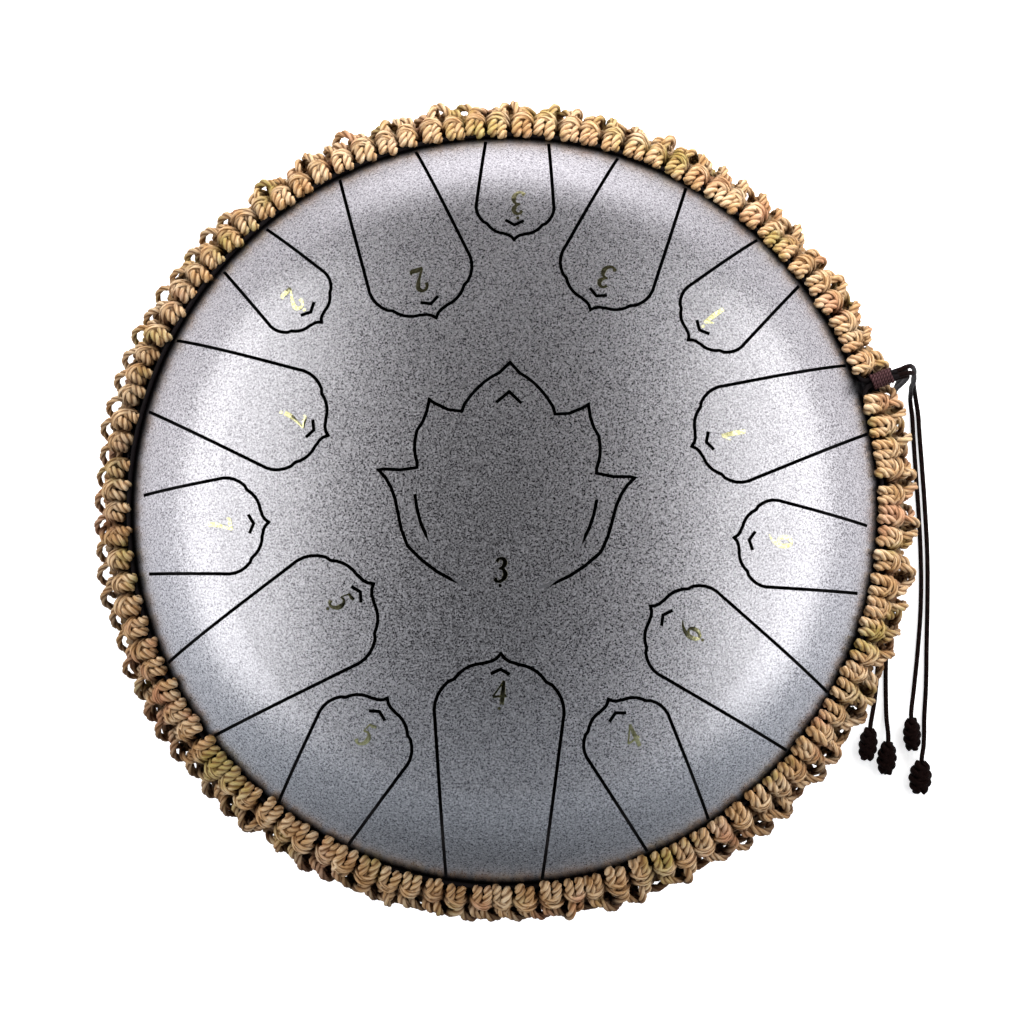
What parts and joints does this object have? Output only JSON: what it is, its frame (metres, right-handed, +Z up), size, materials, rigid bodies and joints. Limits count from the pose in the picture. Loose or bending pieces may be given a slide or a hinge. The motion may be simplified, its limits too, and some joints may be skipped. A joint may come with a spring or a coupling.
{
  "type": "steel tongue drum",
  "caption": "Round steel drum of two pressed shells with petal-tipped cut tongues round a lotus tongue, rubber feet, a knotted jute rim band and sliding drawstring knots.",
  "frame": {"origin": "on the surface that the drum stands on, under the centre of the drum, at the underside of the rubber feet", "axes": "+Z up, out of the playing side; -Y towards the lowest tongue, the one nearest the bottom of the picture; the drawstring knots lie 21 degrees from +X towards +Y"},
  "size_m": [0.3906, 0.3703, 0.174],
  "materials": {
    "top_paint": "satin, finely speckled",
    "bottom_paint": "satin, finely speckled",
    "seal_rubber": "matte",
    "foot_rubber": "matte",
    "jute": "twisted yarn",
    "waxed_cord": "waxed"
  },
  "bodies": {
    "drum": {"top_shell": "top_paint", "bottom_shell": "bottom_paint", "rim_seal": "seal_rubber", "foot_1": "foot_rubber", "foot_2": "foot_rubber", "foot_3": "foot_rubber", "foot_4": "foot_rubber", "jute_top_row": "jute", "jute_outer_loops": "jute", "jute_bottom_row": "jute", "top_drawstring": "waxed_cord", "bottom_drawstring": "waxed_cord", "top_tail_a": "waxed_cord", "top_tail_b": "waxed_cord", "bottom_tail_a": "waxed_cord", "bottom_tail_b": "waxed_cord", "top_end_knot_a": "waxed_cord", "top_end_knot_b": "waxed_cord", "bottom_end_knot_a": "waxed_cord", "bottom_end_knot_b": "waxed_cord"},
    "top_slider": {"top_slider_knot": "waxed_cord"},
    "bottom_slider": {"bottom_slider_knot": "waxed_cord"}
  },
  "joints": [
    {"name": "top_slider_slide", "type": "slide", "parent": "drum", "child": "top_slider", "axis": [0.9336, 0.3584, 0], "range_m": [0, 0.002]},
    {"name": "bottom_slider_slide", "type": "slide", "parent": "drum", "child": "bottom_slider", "axis": [0.9336, 0.3584, 0], "range_m": [0, 0.002]}
  ]
}
